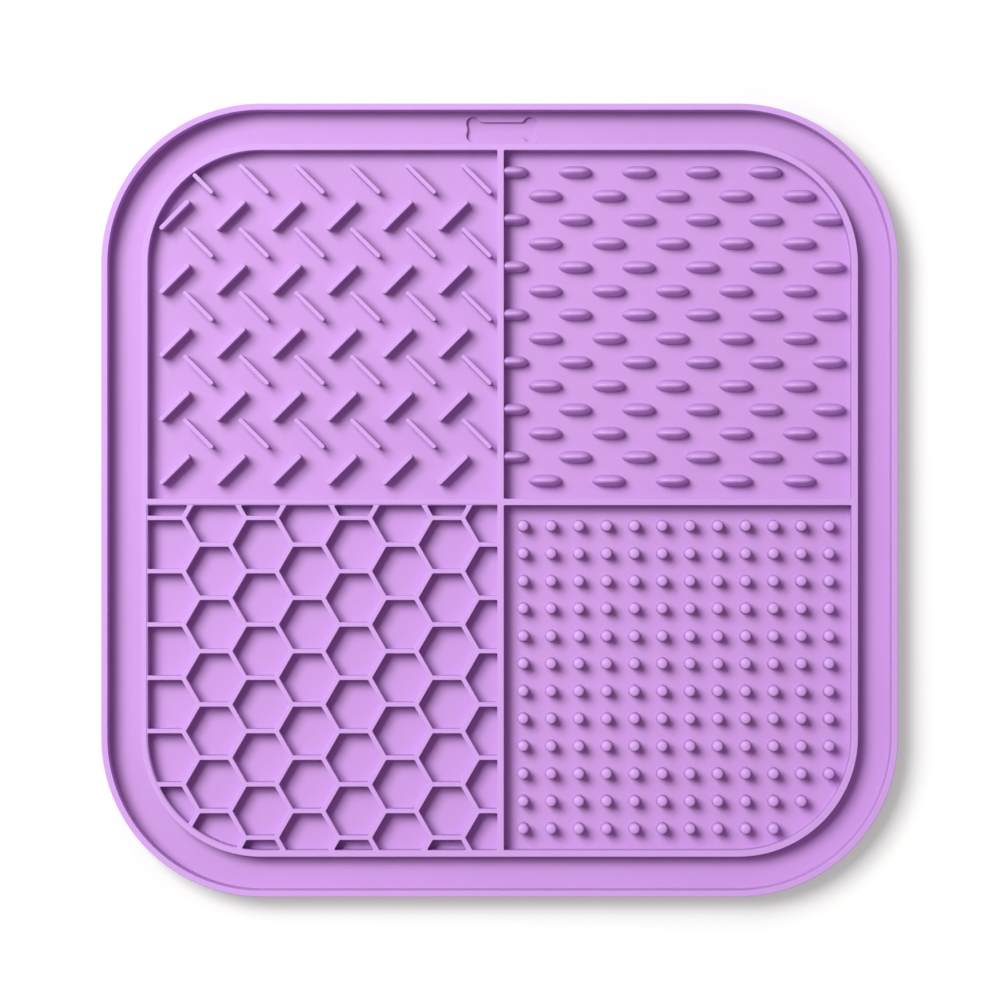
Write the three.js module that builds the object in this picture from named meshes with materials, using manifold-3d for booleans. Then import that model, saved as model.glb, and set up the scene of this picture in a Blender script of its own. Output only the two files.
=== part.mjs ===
// A square lick mat for pets, moulded in one piece of soft silicone.
// It lies flat on its plain underside. A rim and an inner wall leave a crumb
// channel between them, and two dividers part the middle into four
// compartments: ribs, bumps, honeycomb and studs.
// Millimetres, +Z up. The origin is at the middle of the underside.

import * as THREE from 'three';
import { mergeVertices } from 'three/addons/utils/BufferGeometryUtils.js';
import Module from 'manifold-3d';

// Outline, seen from above
const MAT_WIDTH = 200.4;
const MAT_DEPTH = 199.5;
const CORNER_RADIUS = 40.2;
const CORNER_STEPS = 10;

// Heights above the table
const FLOOR_Z = 2;
const RIM_TOP_Z = 8;
const WALL_TOP_Z = 7;

// Walls. The dividers cross a little to the right of the middle and below it.
const RIM_THICKNESS = 1.6;
const WALL_INSET = 10;
const WALL_THICKNESS = 1.6;
const DIVIDER_THICKNESS = 1.6;
const CROSSING = { x: 0.25, y: -0.45 };

// Bone-shaped recess in the floor of the channel, at the top edge
const BONE_X = 0.5;
const BONE_LENGTH = 17.8;
const BONE_KNOB_RADIUS = 1.7;
const BONE_KNOB_SPREAD = 1.5;
const BONE_SHAFT_WIDTH = 3.2;
const BONE_DEPTH = 0.4;
const BONE_KNOB_STEPS = 8;

// Top left: ribs at 45 degrees, the rows leaning one way and the other in turn,
// level with the walls
const RIB_LENGTH = 10.3;
const RIB_THICKNESS = 1.15;
const RIB_PITCH = 14.02;
const RIB_ROW_PITCH = 16.03;
const RIB_PAIRS_OF_ROWS = 5;
const RIBS_IN_ROW = 6;
const RIB_END_STEPS = 3;
const FALLING_RIB_START = { x: -75.9, y: 80.9 };
const RISING_RIB_START = { x: -81.85, y: 71.85 };

// Top right: long domed bumps in staggered rows
const BUMP_LENGTH = 8.3;
const BUMP_WIDTH = 3.0;
const BUMP_HEIGHT = 4.9;
const BUMP_SHOULDER = { width: 0.8, height: 0.68 };
const BUMP_PITCH = 16.04;
const BUMP_STAGGER = 8.5;
const BUMP_ROW_PITCH = 6;
const BUMP_ROWS = 14;
const BUMPS_IN_ROW = 6;
const BUMP_SIDES = 8;
const BUMP_START = { x: 3, y: 82.95 };

// Bottom left: honeycomb, the hexagons with a point to the left and to the right
const CELL_COLUMN_PITCH = 11.72;
const CELL_ROW_PITCH = 13.42;
const CELL_WALL_THICKNESS = 1.1;
const CELL_COLUMNS = 8;
const CELL_ROWS = 8;
const CELL_START = { x: -83.58, y: 2.25 };

// Bottom right: a square grid of round studs
const STUD_BASE_RADIUS = 1.5;
const STUD_TOP_RADIUS = 1.3;
const STUD_SHOULDER_HEIGHT = 4.4;
const STUD_HEIGHT = 4.9;
const STUD_PITCH = { x: 7.01, y: 6.94 };
const STUDS_IN_ROW = 12;
const STUD_SIDES = 8;
const STUD_START = { x: 5.9, y: -6.45 };

// Solids that meet overlap by this much before they are joined or cut
const OVERLAP = 0.5;

const wasm = await Module();
wasm.setup();

// A closed three.js geometry as a solid
function solidOf(geometry) {
  geometry.deleteAttribute('normal');
  geometry.deleteAttribute('uv');
  const merged = mergeVertices(geometry, 1e-4);
  const corners = [];
  for (let i = 0; i < merged.index.count; i += 3) {
    const [a, b, c] = [0, 1, 2].map((k) => merged.index.getX(i + k));
    if (a !== b && b !== c && c !== a) {
      corners.push(a, b, c);
    }
  }
  return new wasm.Manifold(new wasm.Mesh({
    numProp: 3,
    vertProperties: new Float32Array(merged.attributes.position.array),
    triVerts: new Uint32Array(corners),
  }));
}

// A flat outline raised from one height to another. Each arc gets this number
// of steps, which ExtrudeGeometry takes as half, because it doubles it for arcs.
function prism(shape, bottomZ, topZ, arcSteps = 2) {
  const geometry = new THREE.ExtrudeGeometry(shape, {
    depth: topZ - bottomZ,
    bevelEnabled: false,
    curveSegments: arcSteps / 2,
  });
  return solidOf(geometry.translate(0, 0, bottomZ));
}

// A rounded square, this far inside the outline of the mat
function insetOutline(inset) {
  const halfX = MAT_WIDTH / 2 - inset;
  const halfY = MAT_DEPTH / 2 - inset;
  const radius = CORNER_RADIUS - inset;
  const shape = new THREE.Shape();
  shape.absarc(halfX - radius, halfY - radius, radius, 0, Math.PI / 2);
  shape.absarc(radius - halfX, halfY - radius, radius, Math.PI / 2, Math.PI);
  shape.absarc(radius - halfX, radius - halfY, radius, Math.PI, Math.PI * 1.5);
  shape.absarc(halfX - radius, radius - halfY, radius, Math.PI * 1.5, Math.PI * 2);
  return shape;
}

function roundedBlock(inset, bottomZ, topZ) {
  return prism(insetOutline(inset), bottomZ, topZ, CORNER_STEPS);
}

// One quarter of the mat, from the crossing out to a margin past the inner wall:
// sideX and sideY are 1 or -1, and say which quarter
function quarterBlock(sideX, sideY, gap, bottomZ, topZ) {
  const box = new THREE.BoxGeometry(MAT_WIDTH, MAT_DEPTH, topZ - bottomZ);
  box.translate(
    CROSSING.x + sideX * (gap + MAT_WIDTH / 2),
    CROSSING.y + sideY * (gap + MAT_DEPTH / 2),
    (bottomZ + topZ) / 2,
  );
  return solidOf(box);
}

// The hollow of one compartment, open at the top
function compartment(sideX, sideY, bottomZ) {
  const topZ = RIM_TOP_Z + OVERLAP;
  const insideWalls = roundedBlock(WALL_INSET + WALL_THICKNESS, bottomZ, topZ);
  return insideWalls.intersect(
    quarterBlock(sideX, sideY, DIVIDER_THICKNESS / 2, bottomZ, topZ),
  );
}

// Base, rim, channel, inner wall and dividers. The bottom left compartment
// stays full up to the top of its walls, and the honeycomb's cells are cut there.
function shell() {
  const cutTopZ = RIM_TOP_Z + OVERLAP;
  const channel = roundedBlock(RIM_THICKNESS, FLOOR_Z, cutTopZ)
    .subtract(roundedBlock(WALL_INSET, FLOOR_Z - OVERLAP, cutTopZ + OVERLAP));
  const aboveWalls = roundedBlock(WALL_INSET - OVERLAP, WALL_TOP_Z, cutTopZ);
  return roundedBlock(0, 0, RIM_TOP_Z)
    .subtract(channel)
    .subtract(aboveWalls)
    .subtract(compartment(-1, 1, FLOOR_Z))
    .subtract(compartment(1, 1, FLOOR_Z))
    .subtract(compartment(1, -1, FLOOR_Z));
}

// A bone: a shaft with two round knobs at each end
function boneRecess() {
  const channelMiddle = MAT_DEPTH / 2 - (RIM_THICKNESS + WALL_INSET) / 2;
  const bottomZ = FLOOR_Z - BONE_DEPTH;
  const topZ = FLOOR_Z + OVERLAP;
  const knobX = BONE_LENGTH / 2 - BONE_KNOB_RADIUS;
  const shaft = new THREE.BoxGeometry(2 * knobX, BONE_SHAFT_WIDTH, topZ - bottomZ);
  shaft.translate(BONE_X, channelMiddle, (bottomZ + topZ) / 2);
  const pieces = [solidOf(shaft)];
  for (const sideX of [-1, 1]) {
    for (const sideY of [-1, 1]) {
      const knob = new THREE.Shape();
      const knobY = channelMiddle + sideY * BONE_KNOB_SPREAD;
      knob.absarc(BONE_X + sideX * knobX, knobY, BONE_KNOB_RADIUS, 0, Math.PI * 2);
      pieces.push(prism(knob, bottomZ, topZ, BONE_KNOB_STEPS));
    }
  }
  return wasm.Manifold.union(pieces);
}

// One rib, a bar with round ends, turned by 45 degrees
function rib(centreX, centreY, turn) {
  const radius = RIB_THICKNESS / 2;
  const endX = RIB_LENGTH / 2 - radius;
  const shape = new THREE.Shape();
  shape.absarc(endX, 0, radius, -Math.PI / 2, Math.PI / 2);
  shape.absarc(-endX, 0, radius, Math.PI / 2, Math.PI * 1.5);
  return prism(shape, FLOOR_Z - OVERLAP, WALL_TOP_Z, RIB_END_STEPS)
    .rotate([0, 0, turn])
    .translate([centreX, centreY, 0]);
}

function ribs() {
  const pieces = [];
  for (let row = 0; row < RIB_PAIRS_OF_ROWS; row += 1) {
    for (let i = 0; i < RIBS_IN_ROW; i += 1) {
      const right = i * RIB_PITCH;
      const down = row * RIB_ROW_PITCH;
      pieces.push(rib(FALLING_RIB_START.x + right, FALLING_RIB_START.y - down, -45));
      pieces.push(rib(RISING_RIB_START.x + right, RISING_RIB_START.y - down, 45));
    }
  }
  // the rib in the rounded corner runs into the wall, and ends inside it
  const insideWall = roundedBlock(WALL_INSET + WALL_THICKNESS / 2, 0, RIM_TOP_Z);
  return wasm.Manifold.union(pieces).intersect(insideWall);
}

// A round solid on the floor from its side's profile, radius and height in turn
function turned(profile, sides) {
  const points = [new THREE.Vector2(0, -OVERLAP)];
  points.push(new THREE.Vector2(profile[0][0], -OVERLAP));
  for (const [radius, height] of profile) {
    points.push(new THREE.Vector2(radius, height));
  }
  const geometry = new THREE.LatheGeometry(points, sides);
  geometry.rotateX(Math.PI / 2);
  geometry.rotateZ(Math.PI / sides);
  return geometry.translate(0, 0, FLOOR_Z);
}

function bumps() {
  const halfWidth = BUMP_WIDTH / 2;
  const profile = [
    [halfWidth, 0],
    [halfWidth * BUMP_SHOULDER.width, BUMP_HEIGHT * BUMP_SHOULDER.height],
    [0, BUMP_HEIGHT],
  ];
  const bump = solidOf(turned(profile, BUMP_SIDES).scale(BUMP_LENGTH / BUMP_WIDTH, 1, 1));
  const cornerX = MAT_WIDTH / 2 - CORNER_RADIUS;
  const cornerY = MAT_DEPTH / 2 - CORNER_RADIUS;
  const room = CORNER_RADIUS - WALL_INSET - WALL_THICKNESS;
  const pieces = [];
  for (let row = 0; row < BUMP_ROWS; row += 1) {
    const y = BUMP_START.y - row * BUMP_ROW_PITCH;
    const staggered = row % 2 === 1;
    const count = staggered ? BUMPS_IN_ROW - 1 : BUMPS_IN_ROW;
    for (let i = 0; i < count; i += 1) {
      const x = BUMP_START.x + (staggered ? BUMP_STAGGER : 0) + i * BUMP_PITCH;
      if (Math.hypot(Math.max(x - cornerX, 0), Math.max(y - cornerY, 0)) < room) {
        pieces.push(bump.translate([x, y, 0]));
      }
    }
  }
  // the first bump of every other row is half buried in the divider
  return wasm.Manifold.union(pieces).intersect(
    quarterBlock(1, 1, 0, 0, RIM_TOP_Z),
  );
}

function studs() {
  const profile = [
    [STUD_BASE_RADIUS, 0],
    [STUD_TOP_RADIUS, STUD_SHOULDER_HEIGHT],
    [0, STUD_HEIGHT],
  ];
  const stud = solidOf(turned(profile, STUD_SIDES));
  const cornerX = MAT_WIDTH / 2 - CORNER_RADIUS;
  const cornerY = MAT_DEPTH / 2 - CORNER_RADIUS;
  const room = CORNER_RADIUS - WALL_INSET - WALL_THICKNESS - STUD_BASE_RADIUS;
  const pieces = [];
  for (let row = 0; row < STUDS_IN_ROW; row += 1) {
    for (let i = 0; i < STUDS_IN_ROW; i += 1) {
      const x = STUD_START.x + i * STUD_PITCH.x;
      const y = STUD_START.y - row * STUD_PITCH.y;
      if (Math.hypot(Math.max(x - cornerX, 0), Math.max(-y - cornerY, 0)) < room) {
        pieces.push(stud.translate([x, y, 0]));
      }
    }
  }
  return wasm.Manifold.union(pieces);
}

// The hollows of the honeycomb. Each is a hexagon less half a cell wall all
// round, and those of the first column run straight on to the inner wall.
function cells() {
  const halfHeight = (CELL_ROW_PITCH - CELL_WALL_THICKNESS) / 2;
  const point = halfHeight / Math.sin(Math.PI / 3);
  const topZ = RIM_TOP_Z + OVERLAP;
  const pieces = [];
  for (let column = 0; column < CELL_COLUMNS; column += 1) {
    const x = CELL_START.x + column * CELL_COLUMN_PITCH;
    const dropped = column % 2 === 1 ? CELL_ROW_PITCH / 2 : 0;
    for (let row = 0; row < CELL_ROWS; row += 1) {
      const y = CELL_START.y - dropped - row * CELL_ROW_PITCH;
      const shape = new THREE.Shape([
        new THREE.Vector2(x + point, y),
        new THREE.Vector2(x + point / 2, y + halfHeight),
        new THREE.Vector2(x - point / 2, y + halfHeight),
        new THREE.Vector2(x - point, y),
        new THREE.Vector2(x - point / 2, y - halfHeight),
        new THREE.Vector2(x + point / 2, y - halfHeight),
      ]);
      pieces.push(prism(shape, FLOOR_Z, topZ));
      if (column === 0) {
        const run = new THREE.BoxGeometry(point, 2 * halfHeight, topZ - FLOOR_Z);
        run.translate(x - point / 2, y, (FLOOR_Z + topZ) / 2);
        pieces.push(solidOf(run));
      }
    }
  }
  return wasm.Manifold.union(pieces).intersect(compartment(-1, -1, FLOOR_Z - OVERLAP));
}

function mat() {
  return wasm.Manifold.union([shell(), ribs(), bumps(), studs()])
    .subtract(cells())
    .subtract(boneRecess());
}

// A solid as a three.js geometry
function geometryOf(solid) {
  const mesh = solid.getMesh();
  const geometry = new THREE.BufferGeometry();
  geometry.setAttribute('position', new THREE.BufferAttribute(mesh.vertProperties, 3));
  geometry.setIndex(new THREE.BufferAttribute(mesh.triVerts, 1));
  geometry.computeVertexNormals();
  return geometry;
}

const silicone = new THREE.MeshStandardMaterial({
  color: '#d9a4ef',
  roughness: 0.55,
  metalness: 0,
});

const matMesh = new THREE.Mesh(geometryOf(mat()), silicone);
matMesh.name = 'mat';

const group = new THREE.Group();
group.add(matMesh);

export default group;
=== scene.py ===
import bpy
import numpy as np
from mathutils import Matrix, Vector
from mathutils.geometry import delaunay_2d_cdt


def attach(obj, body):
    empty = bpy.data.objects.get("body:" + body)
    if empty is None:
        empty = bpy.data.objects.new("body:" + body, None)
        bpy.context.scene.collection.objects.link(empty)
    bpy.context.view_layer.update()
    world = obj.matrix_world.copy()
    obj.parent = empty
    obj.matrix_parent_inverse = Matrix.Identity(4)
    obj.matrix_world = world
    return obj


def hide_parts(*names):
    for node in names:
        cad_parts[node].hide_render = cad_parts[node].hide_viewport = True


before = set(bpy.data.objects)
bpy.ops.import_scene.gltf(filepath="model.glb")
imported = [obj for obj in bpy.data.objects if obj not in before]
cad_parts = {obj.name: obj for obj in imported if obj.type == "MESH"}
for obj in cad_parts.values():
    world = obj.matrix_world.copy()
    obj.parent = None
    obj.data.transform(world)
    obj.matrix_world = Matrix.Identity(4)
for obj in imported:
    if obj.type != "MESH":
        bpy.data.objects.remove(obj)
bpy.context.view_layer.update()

# The mat's outer side, rim and crumb channel. The mat is one piece of soft silicone, pressed in
# one mould, so every feature below joins the same mesh. Its sizes are in millimetres, and the
# origin is at the middle of the flat underside.
MAT_WIDTH = 200.4
MAT_DEPTH = 199.5
CORNER_RADIUS = 40.2
FLOOR_Z = 2
RIM_TOP_Z = 8
RIM_THICKNESS = 1.6
RIM_ARRIS = 0.12
SIDE_ARRIS = 0.2
FOOT_ARRIS = 0.3
ROOT_FILLET = 0.15
CORNER_POINTS = 33
ARRIS_POINTS = 4
SIDE_ARRIS_POINTS = 5
SAME_POINT = 1e-6
FILL_SLACK = 1e-7

places, normals, faces = [], [], []


def arcs(rows):
    """A line of arcs, with straight runs between them. Each row is an arc's centre, its radius, its
    first and last angle and its number of points. A point is the centre plus the radius along the
    angle. Its outward normal is that direction, turned round where the arc runs clockwise."""
    parts = []
    for x, y, radius, start, end, count in rows:
        angle = np.radians(np.linspace(start, end, count))
        away = np.stack([np.cos(angle), np.sin(angle)], axis=1)
        side = 1 if end > start else -1
        parts.append(np.hstack([(x, y) + radius * away, side * away]))
    return np.vstack(parts)


def add_points(place, normal):
    """Puts a grid of points into the mat, and gives their numbers in the same grid."""
    first = sum(len(part) for part in places)
    places.append(place.reshape(-1, 3))
    normals.append(normal.reshape(-1, 3))
    return first + np.arange(place[..., 0].size).reshape(place.shape[:-1])


def add_bands(numbers):
    """Faces between each closed row of a grid of points and the next row."""
    after = np.roll(numbers, -1, axis=1)
    quads = np.stack([numbers[:-1], after[:-1], after[1:], numbers[1:]], axis=-1)
    faces.extend(quads.reshape(-1, 4).tolist())


def carry(outline, section):
    """Carries a section, offset and height in turn, round a closed outline seen from above. A
    point is the outline's point plus the offset along the outline's normal, at the section's
    height; the section's normal turns with the outline's. Gives the first and the last row."""
    x, y, out_x, out_y = outline.T
    offset, height, out, up = (column[:, None] for column in section.T)
    level = np.ones_like(x)
    place = np.stack([x + offset * out_x, y + offset * out_y, height * level], axis=-1)
    normal = np.stack([out * out_x, out * out_y, up * level], axis=-1)
    numbers = add_points(place, normal)
    add_bands(numbers)
    return numbers[0], numbers[-1]


def fill(edge, holes=()):
    """Flat faces inside one row of points and outside others, as a constrained triangulation. A
    triangle is kept where the edge alone holds it, and none of the holes does."""
    inside_loops_only = 1
    rows = [edge, *holes]
    every = np.vstack(places)
    flat = [Vector(point) for point in every[np.concatenate(rows), :2].tolist()]
    ends = np.cumsum([0] + [len(row) for row in rows])
    loops = [list(range(a, b)) for a, b in zip(ends, ends[1:])]
    _, _, triangles, _, _, holders = delaunay_2d_cdt(
        flat, [], loops, inside_loops_only, FILL_SLACK
    )
    numbers = np.concatenate(rows)
    kept = [triangle for triangle, held_by in zip(triangles, holders) if held_by == [0]]
    faces.extend(numbers[np.array(kept)].tolist())


def rounded_square(half_x, half_y, radii, count):
    """A square outline with its own radius and number of points at each corner. A corner's centre
    is the half sizes less its radius."""
    signs = [(1, 1), (-1, 1), (-1, -1), (1, -1)]
    return arcs([
        (sx * (half_x - r), sy * (half_y - r), r, 90 * k, 90 * k + 90, n)
        for k, ((sx, sy), r, n) in enumerate(zip(signs, radii, count))
    ])


mat_outline = rounded_square(
    MAT_WIDTH / 2, MAT_DEPTH / 2, [CORNER_RADIUS] * 4, [CORNER_POINTS] * 4
)
rim_section = arcs([
    (-FOOT_ARRIS, FOOT_ARRIS, FOOT_ARRIS, -90, 0, ARRIS_POINTS),
    (-SIDE_ARRIS, RIM_TOP_Z - SIDE_ARRIS, SIDE_ARRIS, 0, 90, SIDE_ARRIS_POINTS),
    (-RIM_THICKNESS + RIM_ARRIS, RIM_TOP_Z - RIM_ARRIS, RIM_ARRIS, 90, 180, ARRIS_POINTS),
    (-RIM_THICKNESS - ROOT_FILLET, FLOOR_Z + ROOT_FILLET, ROOT_FILLET, 0, -90, ARRIS_POINTS),
])
underside, channel_edge = carry(mat_outline, rim_section)
faces.append(underside[::-1].tolist())

# The bone-shaped recess in the floor of the channel, a plain ornament, pressed by the mould a
# little nearer to the inner wall than to the rim. Two round knobs at each end are eased into the
# shaft and into each other.
BONE_X = 0.5
BONE_LENGTH = 17.8
BONE_KNOB_RADIUS = 1.7
BONE_KNOB_SPREAD = 1.5
BONE_SHAFT_WIDTH = 3.7
BONE_NECK_FILLET = 1.0
BONE_END_FILLET = 2.0
BONE_DEPTH = 1.2
BONE_ARRIS = 0.12
BONE_NEARER_WALL = 0.22
BONE_KNOB_POINTS = 16
BONE_FILLET_POINTS = 6
WALL_INSET = 10


def bone_outline(centre_x, centre_y):
    """Five arcs that touch, from the shaft round one end and back to it, then the same five
    turned by half a turn. Each fillet's centre is a sum of radii away from its knob's."""
    knob_x = BONE_LENGTH / 2 - BONE_KNOB_RADIUS
    neck_y = BONE_SHAFT_WIDTH / 2 + BONE_NECK_FILLET
    reach = BONE_KNOB_RADIUS + BONE_NECK_FILLET
    neck_x = knob_x - np.sqrt(reach ** 2 - (neck_y - BONE_KNOB_SPREAD) ** 2)
    neck = np.degrees(np.arctan2(neck_y - BONE_KNOB_SPREAD, knob_x - neck_x))
    reach = BONE_KNOB_RADIUS + BONE_END_FILLET
    notch_x = knob_x + np.sqrt(reach ** 2 - BONE_KNOB_SPREAD ** 2)
    notch = np.degrees(np.arctan2(BONE_KNOB_SPREAD, notch_x - knob_x))
    few, many = BONE_FILLET_POINTS, BONE_KNOB_POINTS
    half = [
        (neck_x, -neck_y, BONE_NECK_FILLET, 90, neck, few),
        (knob_x, -BONE_KNOB_SPREAD, BONE_KNOB_RADIUS, 180 + neck, 360 + notch, many),
        (notch_x, 0, BONE_END_FILLET, 180 + notch, 180 - notch, few),
        (knob_x, BONE_KNOB_SPREAD, BONE_KNOB_RADIUS, -notch, 180 - neck, many),
        (neck_x, neck_y, BONE_NECK_FILLET, -neck, -90, few),
    ]
    outline = arcs(half + [(-x, -y, r, a + 180, b + 180, n) for x, y, r, a, b, n in half])
    apart = np.linalg.norm(outline[:, :2] - np.roll(outline[:, :2], 1, axis=0), axis=1)
    outline[:, :2] += (centre_x, centre_y)
    return outline[apart > SAME_POINT]


bone_section = arcs([
    (BONE_ARRIS, FLOOR_Z - BONE_ARRIS, BONE_ARRIS, 90, 180, ARRIS_POINTS),
    (-BONE_ARRIS, FLOOR_Z - BONE_DEPTH + BONE_ARRIS, BONE_ARRIS, 0, -90, ARRIS_POINTS),
])
channel_middle = MAT_DEPTH / 2 - (RIM_THICKNESS + WALL_INSET) / 2
bone = bone_outline(BONE_X, channel_middle - BONE_NEARER_WALL)
bone_edge, bone_floor = carry(bone, bone_section)
fill(bone_floor)

# The inner wall, a rounded square inside the rim, and the two dividers, which cross a little off
# the middle. Their tops are level, and their arrises are hardly rounded, as the mould leaves them.
WALL_TOP_Z = 7
WALL_THICKNESS = 1.6
DIVIDER_THICKNESS = 1.6
CROSSING = (0.25, -0.45)
WALL_ARRIS = 0.12
CORNER_EASE = 0.35
EASE_POINTS = 5
INNER_CORNER_POINTS = 25

wall_section = arcs([
    (-WALL_INSET + ROOT_FILLET, FLOOR_Z + ROOT_FILLET, ROOT_FILLET, 270, 180, ARRIS_POINTS),
    (-WALL_INSET - WALL_ARRIS, WALL_TOP_Z - WALL_ARRIS, WALL_ARRIS, 0, 90, ARRIS_POINTS),
])
wall_foot, wall_top = carry(mat_outline, wall_section)
fill(channel_edge, [wall_foot, bone_edge])


def compartment(side_x, side_y, ease, ease_points=EASE_POINTS):
    """One compartment's outline, seen from above, from the divider's faces to the inner wall's. Its
    half size is half the far face's distance less the near one's, and its middle is halfway between
    them. One corner is concentric with the mat's, and the other three are nearly square."""
    far_x = MAT_WIDTH / 2 - WALL_INSET - WALL_THICKNESS
    far_y = MAT_DEPTH / 2 - WALL_INSET - WALL_THICKNESS
    near_x = DIVIDER_THICKNESS / 2 + side_x * CROSSING[0]
    near_y = DIVIDER_THICKNESS / 2 + side_y * CROSSING[1]
    corners = [(1, 1), (-1, 1), (-1, -1), (1, -1)]
    far = corners.index((side_x, side_y))
    radii = [ease] * 4
    radii[far] = CORNER_RADIUS - WALL_INSET - WALL_THICKNESS
    count = [ease_points] * 4
    count[far] = INNER_CORNER_POINTS
    outline = rounded_square((far_x - near_x) / 2, (far_y - near_y) / 2, radii, count)
    outline[:, :2] += (side_x * (far_x + near_x) / 2, side_y * (far_y + near_y) / 2)
    return outline


hollow_section = arcs([
    (WALL_ARRIS, WALL_TOP_Z - WALL_ARRIS, WALL_ARRIS, 90, 180, ARRIS_POINTS),
    (-ROOT_FILLET, FLOOR_Z + ROOT_FILLET, ROOT_FILLET, 0, -90, ARRIS_POINTS),
])
ribs_edge, ribs_floor = carry(compartment(-1, 1, CORNER_EASE), hollow_section)
bumps_edge, bumps_floor = carry(compartment(1, 1, CORNER_EASE), hollow_section)
studs_edge, studs_floor = carry(compartment(1, -1, CORNER_EASE), hollow_section)

# Top left: short ribs at 45 degrees, level with the walls, the rows leaning one way and the other
# in turn. The rib in the mat's corner runs into the inner wall, and ends inside it.
RIB_LENGTH = 10.3
RIB_THICKNESS = 1.15
RIB_TOP_Z = 7
RIB_ARRIS = 0.18
RIB_FILLET = 0.12
RIB_PITCH = 14.02
RIB_ROW_PITCH = 16.03
RIB_PAIRS_OF_ROWS = 5
RIBS_IN_ROW = 6
FALLING_RIB_START = (-75.9, 80.9)
RISING_RIB_START = (-81.85, 71.85)
RIB_END_POINTS = 10
RIB_LEAN = 45
CORNER_RIB_SHORTER = 3.4
CORNER_RIB_PROUD = 0.01
SUNK = 0.5

rib_section = arcs([
    (RIB_FILLET, FLOOR_Z + RIB_FILLET, RIB_FILLET, 270, 180, ARRIS_POINTS),
    (-RIB_ARRIS, RIB_TOP_Z - RIB_ARRIS, RIB_ARRIS, 0, 90, ARRIS_POINTS),
])


def rib_outline(x, y, turn, length):
    """A bar with half-round ends, turned about its middle. The middle of an end is half the length
    less the end's radius away, along the turn."""
    radius = RIB_THICKNESS / 2
    a = np.radians(turn)
    end_x = (length / 2 - radius) * np.cos(a)
    end_y = (length / 2 - radius) * np.sin(a)
    return arcs([
        (x + end_x, y + end_y, radius, turn - 90, turn + 90, RIB_END_POINTS),
        (x - end_x, y - end_y, radius, turn + 90, turn + 270, RIB_END_POINTS),
    ])


def sunk(section):
    """The same section, with its foot carried down into the base, for a shape that runs into a
    wall and so can't share its foot with the floor."""
    foot = section[:1].copy()
    foot[0, 1] -= SUNK
    return np.vstack([foot, section])


rib_feet = []
for row in range(RIB_PAIRS_OF_ROWS):
    for i in range(RIBS_IN_ROW):
        for (start_x, start_y), turn in ((FALLING_RIB_START, -RIB_LEAN), (RISING_RIB_START, RIB_LEAN)):
            x = start_x + i * RIB_PITCH
            y = start_y - row * RIB_ROW_PITCH
            if (row, i, turn) == (0, 0, -RIB_LEAN):
                slide = CORNER_RIB_SHORTER / 2 * np.cos(np.radians(RIB_LEAN))
                length = RIB_LENGTH - CORNER_RIB_SHORTER
                outline = rib_outline(x + slide, y - slide, turn, length)
                foot, top = carry(outline, sunk(rib_section + (0, CORNER_RIB_PROUD, 0, 0)))
                faces.append(foot[::-1].tolist())
            else:
                foot, top = carry(rib_outline(x, y, turn, RIB_LENGTH), rib_section)
                rib_feet.append(foot)
            faces.append(top.tolist())
fill(ribs_floor, rib_feet)

# Top right: long domed bumps in staggered rows, with steep sides and a soft ridge. Every other row
# starts with a bump that runs into the divider, and two by the mat's corner run into its wall.
BUMP_LENGTH = 8.3
BUMP_WIDTH = 3.0
BUMP_HEIGHT = 4.9
BUMP_BLUNTNESS = (3.0, 1.8)
BUMP_DOME = 0.5
BUMP_FOOT = 0.1
BUMP_PITCH = 16.04
BUMP_STAGGER = 8.5
BUMP_ROW_PITCH = 6
BUMP_ROWS = 14
BUMPS_IN_ROW = 6
BUMP_START = (3, 82.95)
BUMP_POINTS = 32
NEARLY_UPRIGHT = 1e-4
BUMP_SPREADS = (1, 1, 0.985, 0.93, 0.83, 0.7, 0.54, 0.37, 0.2, 0.07, 0.015)
INSIDE_DIVIDER = 0
INSIDE_CORNER_WALL = 27


def bump_grid():
    """Rows of points round a dome, from a narrow foot on the floor almost to the top. The height is
    a power of 1 less the spread, and the spread is a power of the length plus another of the width,
    each as a share of its half size. The normal is at right angles to the slopes that this gives,
    which are nearly upright at the foot."""
    turn = np.linspace(0, 2 * np.pi, BUMP_POINTS, endpoint=False)
    spread = np.array(BUMP_SPREADS)[:, None]
    long, wide = BUMP_BLUNTNESS
    along = np.sign(np.cos(turn)) * (spread * np.cos(turn) ** 2) ** (1 / long)
    across = np.sign(np.sin(turn)) * (spread * np.sin(turn) ** 2) ** (1 / wide)
    height = BUMP_HEIGHT * (1 - spread) ** BUMP_DOME * np.ones_like(turn)
    grid = np.stack([along * BUMP_LENGTH / 2, across * BUMP_WIDTH / 2, height], axis=-1)
    steepness = BUMP_DOME * BUMP_HEIGHT * np.clip(1 - spread, NEARLY_UPRIGHT, 1) ** (BUMP_DOME - 1)
    normal = np.stack([
        steepness * long * np.sign(along) * np.abs(along) ** (long - 1) / (BUMP_LENGTH / 2),
        steepness * wide * np.sign(across) * np.abs(across) ** (wide - 1) / (BUMP_WIDTH / 2),
        np.ones_like(along),
    ], axis=-1)
    normal /= np.linalg.norm(normal, axis=-1, keepdims=True)
    grid[0] += BUMP_FOOT * normal[0] * (1, 1, 0)
    grid[1, :, 2] = BUMP_FOOT
    normal[0] = (0, 0, 1)
    return grid + (0, 0, FLOOR_Z), normal


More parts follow.
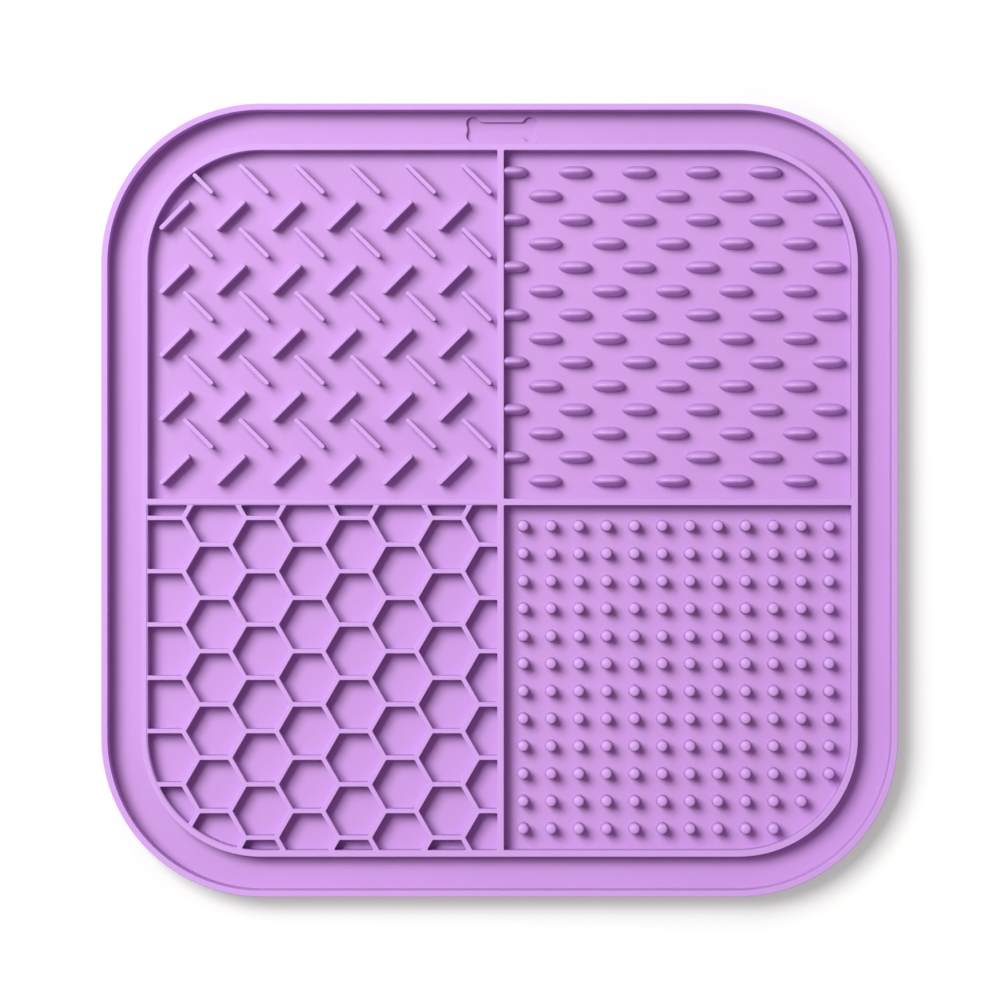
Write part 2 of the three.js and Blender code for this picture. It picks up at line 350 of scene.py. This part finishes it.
def add_bump(grid, normal, crossing=None):
    """One bump: its bands, and a ladder of faces across the ridge. Where it crosses into a wall,
    crossing gives the lowest and highest x, and it is closed below the floor instead."""
    if crossing:
        grid = np.concatenate([grid[:1] - (0, 0, SUNK), grid])
        grid[..., 0] = np.clip(grid[..., 0], *crossing)
        normal = np.concatenate([normal[:1], normal])
    numbers = add_points(grid, normal)
    add_bands(numbers)
    upper = numbers[-1, 1:BUMP_POINTS // 2]
    lower = numbers[-1, :BUMP_POINTS // 2:-1]
    rungs = np.stack([upper[:-1], upper[1:], lower[1:], lower[:-1]], axis=-1)
    faces.extend(rungs.tolist())
    faces.append([numbers[-1, 0], upper[0], lower[0]])
    faces.append([upper[-1], numbers[-1, BUMP_POINTS // 2], lower[-1]])
    if crossing:
        faces.append(numbers[0, ::-1].tolist())
    return numbers[0]


one_bump, bump_normal = bump_grid()
corner_x = MAT_WIDTH / 2 - CORNER_RADIUS
corner_y = MAT_DEPTH / 2 - CORNER_RADIUS
corner_room = CORNER_RADIUS - WALL_INSET - WALL_THICKNESS
bump_feet = []
for row in range(BUMP_ROWS):
    staggered = row % 2 == 1
    for i in range(BUMPS_IN_ROW - staggered):
        x = BUMP_START[0] + (BUMP_STAGGER if staggered else 0) + i * BUMP_PITCH
        y = BUMP_START[1] - row * BUMP_ROW_PITCH
        from_corner = np.hypot(max(x - corner_x, 0), max(y - corner_y, 0))
        if from_corner > corner_room:
            continue
        grid = one_bump + (x, y, 0)
        if i == 0 and not staggered:
            add_bump(grid, bump_normal, (INSIDE_DIVIDER, MAT_WIDTH))
        elif from_corner + BUMP_LENGTH / 2 > corner_room and y > corner_y:
            add_bump(grid, bump_normal, (INSIDE_DIVIDER, corner_x + INSIDE_CORNER_WALL))
        else:
            bump_feet.append(add_bump(grid, bump_normal))
fill(bumps_floor, bump_feet)

# Bottom right: a square grid of round studs, tapered a little, with domed tops.
STUD_BASE_RADIUS = 1.5
STUD_TOP_RADIUS = 1.36
STUD_HEIGHT = 4.9
STUD_DOME = 0.7
STUD_FILLET = 0.15
STUD_FILLET_TURN = 75
STUD_PITCH = (7.01, 6.94)
STUDS_IN_ROW = 12
STUD_START = (5.9, -6.45)
STUD_POINTS = 20
STUD_DOME_POINTS = 7
STUD_DOME_ANGLES = (4, 76)
STUD_DOME_POWERS = (0.8, 0.9)


def stud_section():
    """From the foot: a short fillet, a straight taper, and a dome that is a flattened quarter
    circle, radius by a power of the cosine and height by a power of the sine."""
    fillet = arcs([(STUD_FILLET, STUD_FILLET, STUD_FILLET, 270, 270 - STUD_FILLET_TURN, ARRIS_POINTS)])
    angle = np.radians(np.linspace(*STUD_DOME_ANGLES, STUD_DOME_POINTS))
    across, up = STUD_DOME_POWERS
    radius = STUD_TOP_RADIUS * np.cos(angle) ** across
    height = STUD_HEIGHT - STUD_DOME + STUD_DOME * np.sin(angle) ** up
    offset = np.concatenate([fillet[:, 0], radius - STUD_BASE_RADIUS])
    height = np.concatenate([fillet[:, 1], height])
    run = np.gradient(offset)
    rise = np.gradient(height)
    length = np.hypot(run, rise)
    section = np.stack([offset, FLOOR_Z + height, rise / length, -run / length], axis=1)
    section[0, 2:] = (0, 1)
    return section


stud_side = stud_section()
stud_feet = []
for row in range(STUDS_IN_ROW):
    for i in range(STUDS_IN_ROW):
        x = STUD_START[0] + i * STUD_PITCH[0]
        y = STUD_START[1] - row * STUD_PITCH[1]
        if np.hypot(max(x - corner_x, 0), max(-y - corner_y, 0)) < corner_room - STUD_BASE_RADIUS:
            turn = 360 / STUD_POINTS
            circle = arcs([(x, y, STUD_BASE_RADIUS, 0, 360 - turn, STUD_POINTS)])
            foot, top = carry(circle, stud_side)
            stud_feet.append(foot)
            faces.append(top.tolist())
fill(studs_floor, stud_feet)

# Bottom left: a honeycomb of thin walls, a hair lower than the walls round it. Each cell is a
# hexagon with its points to the left and right, cut off by the walls where it meets them.
CELL_COLUMN_PITCH = 11.72
CELL_ROW_PITCH = 13.42
CELL_WALL_THICKNESS = 1.1
CELL_COLUMNS = 8
CELL_ROWS = 8
CELL_START = (-83.58, 2.25)
CELL_TOP_Z = 6.8
CELL_ARRIS = 0.12
CELL_FILLET = 0.15
CELL_CORNER = 0.27
CORNER_STEP = 25
SHORTEST_SIDE = 0.5
SMALLEST_CELL = 2.0
STEP_BEND = (WALL_TOP_Z - CELL_TOP_Z) / 2
LEDGE = 0.03

step_section = arcs([
    (CELL_ARRIS + LEDGE + 2 * STEP_BEND, WALL_TOP_Z - STEP_BEND, STEP_BEND, 90, 180, ARRIS_POINTS),
    (CELL_ARRIS + LEDGE, CELL_TOP_Z + STEP_BEND, STEP_BEND, 0, -90, ARRIS_POINTS),
])
cell_section = arcs([
    (CELL_ARRIS, CELL_TOP_Z - CELL_ARRIS, CELL_ARRIS, 90, 180, ARRIS_POINTS),
    (-CELL_FILLET, FLOOR_Z + CELL_FILLET, CELL_FILLET, 0, -90, ARRIS_POINTS),
])
cells_wall, cells_edge = carry(compartment(-1, -1, CELL_CORNER), step_section)
fill(wall_top, [ribs_edge, bumps_edge, studs_edge, cells_wall])


def clipped(shape, room):
    """What lies inside a convex room: the shape is cut by the line of each side in turn. A cut parts
    two corners in the ratio of their distances from the line. A corner too close to the one before
    it is left out."""
    for a, b in zip(room, np.roll(room, -1, axis=0)):
        along = b - a
        side = along[0] * (shape[:, 1] - a[1]) - along[1] * (shape[:, 0] - a[0])
        if (side >= 0).all():
            continue
        if (side < 0).all():
            return shape[:0]
        kept = []
        for k in range(len(shape)):
            here, there = side[k - 1], side[k]
            if (here >= 0) != (there >= 0):
                kept.append(shape[k - 1] + (shape[k] - shape[k - 1]) * here / (here - there))
            if there >= 0:
                kept.append(shape[k])
        shape = np.array(kept)
    apart = np.linalg.norm(shape - np.roll(shape, 1, axis=0), axis=1)
    return shape[apart > SHORTEST_SIDE]


def eased(shape, radius):
    """A convex outline with its corners rounded. Each arc's centre is the corner, less the radius
    times the sum of the two sides' normals over 1 plus their product."""
    before = shape - np.roll(shape, 1, axis=0)
    after = np.roll(before, -1, axis=0)
    turns = []
    for side in (before, after):
        side /= np.linalg.norm(side, axis=1, keepdims=True)
        turns.append(np.stack([side[:, 1], -side[:, 0]], axis=1))
    product = (turns[0] * turns[1]).sum(axis=1)[:, None]
    centre = shape - radius * (turns[0] + turns[1]) / (1 + product)
    start = np.degrees(np.arctan2(turns[0][:, 1], turns[0][:, 0]))
    end = np.degrees(np.arctan2(turns[1][:, 1], turns[1][:, 0]))
    end = start + (end - start) % 360
    count = 1 + np.ceil((end - start) / CORNER_STEP).astype(int)
    return arcs(list(zip(*centre.T, np.full(len(shape), radius), start, end, count)))


def cell_shape(x, y, first_column):
    """A hexagon less half a wall all round: its corners are the middle plus the radius along each
    sixth of a turn. In the first column it runs straight on, leftwards."""
    half_height = (CELL_ROW_PITCH - CELL_WALL_THICKNESS) / 2
    point = half_height / np.sin(np.pi / 3)
    shape = x + 1j * y + point * np.exp(1j * np.radians(60) * np.arange(6))
    shape = np.stack([shape.real, shape.imag], axis=1)
    if first_column:
        shape[[2, 4], 0] = -MAT_WIDTH / 2
        shape = np.delete(shape, 3, axis=0)
    return shape


square_room = compartment(-1, -1, 0, 1)[:, :2]
cell_edges = []
for column in range(CELL_COLUMNS):
    for row in range(CELL_ROWS):
        x = CELL_START[0] + column * CELL_COLUMN_PITCH
        y = CELL_START[1] - (row + column % 2 / 2) * CELL_ROW_PITCH
        shape = clipped(cell_shape(x, y, column == 0), square_room)
        following = np.roll(shape, -1, axis=0)
        area = (shape[:, 0] * following[:, 1] - shape[:, 1] * following[:, 0]).sum() / 2
        if area > SMALLEST_CELL:
            edge, floor = carry(eased(shape, CELL_CORNER), cell_section)
            cell_edges.append(edge)
            faces.append(floor.tolist())
fill(cells_edge, cell_edges)

# The whole mat as one mesh in metres, its normals taken from the shapes above, so that flat faces
# shade flat and bends shade round. It stands for the CAD mat, and lies flat.
mesh = bpy.data.meshes.new("lick_mat")
mesh.from_pydata(np.vstack(places) / 1000, [], faces)
mesh.normals_split_custom_set_from_vertices(np.vstack(normals))
lick_mat = bpy.data.objects.new("lick_mat", mesh)
bpy.context.scene.collection.objects.link(lick_mat)
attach(lick_mat, "root")
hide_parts("mat")


# Moulded silicone rubber, lilac all through. The mould's fine matte finish gives it a satin look,
# with soft broad highlights. The raised parts have painted light: their colour is painted lighter
# than the floor's, the more so the higher they stand.
def srgb(text):
    """A hex colour as linear red, green, blue and alpha, by the sRGB curve: a straight run in the
    darkest part, and a power of 2.4 above it."""
    value = np.array([int(text[i:i + 2], 16) for i in (1, 3, 5)]) / 255
    linear = np.where(value <= 0.04045, value / 12.92, ((value + 0.055) / 1.055) ** 2.4)
    return (*linear.tolist(), 1)


def add_node(tree, kind, settings=(), inputs=(), links=()):
    """Adds a node, sets its properties and input values, and links other nodes' outputs to it. An
    input goes by its name, or by its number where two have one name."""
    node = tree.nodes.new(kind)
    for name, value in dict(settings).items():
        setattr(node, name, value)
    for name, value in dict(inputs).items():
        node.inputs[name].default_value = value
    for name, output in dict(links).items():
        tree.links.new(output, node.inputs[name])
    return node


SILICONE_LILAC = "#BB91CD"
# The lighter lilac of the painted light on the raised parts.
PAINTED_LIGHT_LILAC = "#BF98D6"
SILICONE_DEEP = "#B48AC6"
SILICONE_IOR = 1.41
SATIN_ROUGHNESS = (0.44, 0.56)
LIGHT_DEPTH = 0.8
LIGHT_DEPTH_SHARES = (1.0, 0.6, 1.0)
LIGHT_LET_IN = 0.15
LIGHTER_ABOVE_FLOOR = 1.0
LIGHTEST_BELOW_TOP = 0.5
CLOUD_SIZE = 28
CLOUD_RANGE = (0.3, 0.7)
CLOUD_DEPTH = 0.35
MOTTLE_SIZE = 4
GRAIN_SIZE = 0.5
WAVE_HEIGHT = 0.4
WAVE_STRENGTH = 0.15
GRAIN_HEIGHT = 0.04
GRAIN_STRENGTH = 0.12

silicone = bpy.data.materials.new("moulded_lilac_silicone")
silicone.use_nodes = True
tree = silicone.node_tree
tree.nodes.clear()
spot = add_node(tree, "ShaderNodeTexCoord").outputs["Object"]
clouds = add_node(
    tree, "ShaderNodeTexNoise", {}, {"Scale": 1000 / CLOUD_SIZE, "Detail": 2}, {"Vector": spot}
)
mottle = add_node(
    tree, "ShaderNodeTexNoise", {}, {"Scale": 1000 / MOTTLE_SIZE, "Detail": 3}, {"Vector": spot}
)
# A mould's matte grain is about 0.05 mm as a rule. It is too fine to show at that size, so it is
# drawn ten times as coarse.
grain = add_node(
    tree, "ShaderNodeTexNoise", {}, {"Scale": 1000 / GRAIN_SIZE, "Detail": 2}, {"Vector": spot}
)
unevenness = add_node(
    tree, "ShaderNodeMapRange", {},
    {"From Min": CLOUD_RANGE[0], "From Max": CLOUD_RANGE[1], "To Max": CLOUD_DEPTH},
    {"Value": clouds.outputs["Fac"]},
)
body_colour = add_node(
    tree, "ShaderNodeMix", {"data_type": "RGBA"},
    {"A": srgb(SILICONE_LILAC), "B": srgb(SILICONE_DEEP)},
    {"Factor": unevenness.outputs["Result"]},
)
spot_parts = add_node(tree, "ShaderNodeSeparateXYZ", {}, {}, {"Vector": spot})
# Painted light: the colour is painted lighter with height, from a little above the floor to a little
# below the wall tops.
painted_light_by_height = add_node(
    tree, "ShaderNodeMapRange", {},
    {"From Min": (FLOOR_Z + LIGHTER_ABOVE_FLOOR) / 1000,
     "From Max": (WALL_TOP_Z - LIGHTEST_BELOW_TOP) / 1000},
    {"Value": spot_parts.outputs["Z"]},
)
colour_with_painted_light = add_node(
    tree, "ShaderNodeMix", {"data_type": "RGBA"}, {"B": srgb(PAINTED_LIGHT_LILAC)},
    {"Factor": painted_light_by_height.outputs["Result"], "A": body_colour.outputs["Result"]},
)
satin = add_node(
    tree, "ShaderNodeMapRange", {},
    {"To Min": SATIN_ROUGHNESS[0], "To Max": SATIN_ROUGHNESS[1]},
    {"Value": mottle.outputs["Fac"]},
)
mould_wave = add_node(
    tree, "ShaderNodeBump", {}, {"Strength": WAVE_STRENGTH, "Distance": WAVE_HEIGHT / 1000},
    {"Height": clouds.outputs["Fac"]},
)
matte_grain = add_node(
    tree, "ShaderNodeBump", {}, {"Strength": GRAIN_STRENGTH, "Distance": GRAIN_HEIGHT / 1000},
    {"Height": grain.outputs["Fac"], "Normal": mould_wave.outputs["Normal"]},
)
skin = add_node(
    tree, "ShaderNodeBsdfPrincipled", {},
    {"IOR": SILICONE_IOR, "Subsurface Weight": LIGHT_LET_IN,
     "Subsurface Radius": LIGHT_DEPTH_SHARES, "Subsurface Scale": LIGHT_DEPTH / 1000},
    {"Base Color": colour_with_painted_light.outputs["Result"], "Roughness": satin.outputs["Result"],
     "Normal": matte_grain.outputs["Normal"]},
)
add_node(tree, "ShaderNodeOutputMaterial", {}, {}, {"Surface": skin.outputs["BSDF"]})
mesh.materials.append(silicone)

# The table under the mat, not part of it: a sheet whose glow is painted light from below, which
# keeps the mat's shadow on it pale. It glows less beside the mat, as a painted shadow round it. It
# lies a hair below the mat and is cut out under it, so that the underside shows from below. The
# glow's colour is in linear values.
TABLE_TIMES_MAT = 30
TABLE_TUCK = 1.5
TABLE_DROP = 0.05
TABLE_GREY = "#BCBCBC"
TABLE_ROUGHNESS = 0.7
GLOW_COLOUR = (0.88, 1, 0.9, 1)
GLOW_BESIDE_MAT = 0.32
GLOW_CLEAR = 0.6
GLOW_RISE = 22

# One flat band, from the mat's outline drawn in a little to the same outline many times as large.
cut_out = mat_outline[:, :2] - TABLE_TUCK * mat_outline[:, 2:]
band = np.concatenate([cut_out, cut_out * TABLE_TIMES_MAT])
band = np.hstack([band, np.full((len(band), 1), -TABLE_DROP)])
inner = np.arange(len(cut_out))
after = np.roll(inner, -1)
outer = len(cut_out)
quads = np.stack([inner, inner + outer, after + outer, after], axis=1)
table_mesh = bpy.data.meshes.new("table")
table_mesh.from_pydata(band / 1000, [], quads.tolist())
table = bpy.data.objects.new("table", table_mesh)
bpy.context.scene.collection.objects.link(table)

glowing_table_material = bpy.data.materials.new("table_painted_glow")
glowing_table_material.use_nodes = True
tree = glowing_table_material.node_tree
tree.nodes.clear()
table_spot = add_node(tree, "ShaderNodeTexCoord").outputs["Object"]
# How far a spot is from the rectangle between the middles of the mat's round corners: the size of
# the spot's place, with no sign, less that of the nearest corner's middle, and no less than 0.
unsigned_spot = add_node(
    tree, "ShaderNodeVectorMath", {"operation": "ABSOLUTE"}, {}, {0: table_spot}
)
past_corner = add_node(
    tree, "ShaderNodeVectorMath", {"operation": "SUBTRACT"},
    {1: (corner_x / 1000, corner_y / 1000, 0)}, {0: unsigned_spot.outputs["Vector"]},
)
outside = add_node(
    tree, "ShaderNodeVectorMath", {"operation": "MAXIMUM"}, {}, {0: past_corner.outputs["Vector"]}
)
how_far = add_node(
    tree, "ShaderNodeVectorMath", {"operation": "LENGTH"}, {}, {0: outside.outputs["Vector"]}
)
# Painted shadow: the glow, itself painted light, is dimmer near the mat's outline and rises away from
# it.
glow = add_node(
    tree, "ShaderNodeMapRange", {"interpolation_type": "SMOOTHSTEP"},
    {"From Min": CORNER_RADIUS / 1000, "From Max": (CORNER_RADIUS + GLOW_RISE) / 1000,
     "To Min": GLOW_BESIDE_MAT, "To Max": GLOW_CLEAR},
    {"Value": how_far.outputs["Value"]},
)
sheet = add_node(
    tree, "ShaderNodeBsdfPrincipled", {},
    {"Base Color": srgb(TABLE_GREY), "Roughness": TABLE_ROUGHNESS,
     "Emission Color": GLOW_COLOUR},
    {"Emission Strength": glow.outputs["Result"]},
)
add_node(tree, "ShaderNodeOutputMaterial", {}, {}, {"Surface": sheet.outputs["BSDF"]})
table_mesh.materials.append(glowing_table_material)

# One large softbox from the top left, its place and size in metres, and an even fill from all
# round, its colour in linear values, rosy as the shade on the mat is. The screens all round look
# white to the camera.
KEY_PLACE = (-0.61, 0.46, 1.17)
KEY_SIZE = 0.67
KEY_WATTS = 24.8
FILL_COLOUR = (1, 0.655, 0.835, 1)
FILL_STRENGTH = 0.326
SCREEN_WHITE = "#F2F1F2"

key_data = bpy.data.lights.new("softbox", "AREA")
key_data.size = KEY_SIZE
key_data.energy = KEY_WATTS
key = bpy.data.objects.new("softbox", key_data)
key.location = KEY_PLACE
key.rotation_euler = (-Vector(KEY_PLACE)).to_track_quat("-Z", "Y").to_euler()
bpy.context.scene.collection.objects.link(key)

world = bpy.data.worlds.new("studio")
world.use_nodes = True
tree = world.node_tree
tree.nodes.clear()
fill_light = add_node(
    tree, "ShaderNodeBackground", {}, {"Color": FILL_COLOUR, "Strength": FILL_STRENGTH}
)
screens = add_node(tree, "ShaderNodeBackground", {}, {"Color": srgb(SCREEN_WHITE)})
rays = add_node(tree, "ShaderNodeLightPath")
surround = add_node(
    tree, "ShaderNodeMixShader", {}, {},
    {"Fac": rays.outputs["Is Camera Ray"], 1: fill_light.outputs["Background"],
     2: screens.outputs["Background"]},
)
add_node(tree, "ShaderNodeOutputWorld", {}, {}, {"Surface": surround.outputs["Shader"]})
bpy.context.scene.world = world
bpy.context.scene.view_settings.view_transform = "Standard"

# The camera looks straight down, as in the photo, from a metre above the table. The rim's top
# spans four fifths of the picture, whose middle is a tenth of a millimetre off the mat's. The
# height and the width seen at the rim's top are in metres.
CAMERA_HEIGHT = 1.0
CAMERA_OFF_MIDDLE = (0.09, 0.05)
SENSOR_WIDTH = 36
SEEN_WIDTH = 0.2514

camera_data = bpy.data.cameras.new("overhead")
camera_data.sensor_width = SENSOR_WIDTH
camera_data.lens = SENSOR_WIDTH * (CAMERA_HEIGHT - RIM_TOP_Z / 1000) / SEEN_WIDTH
camera = bpy.data.objects.new("overhead", camera_data)
off_x, off_y = CAMERA_OFF_MIDDLE
camera.location = (off_x / 1000, off_y / 1000, CAMERA_HEIGHT)
bpy.context.scene.collection.objects.link(camera)
bpy.context.scene.camera = camera
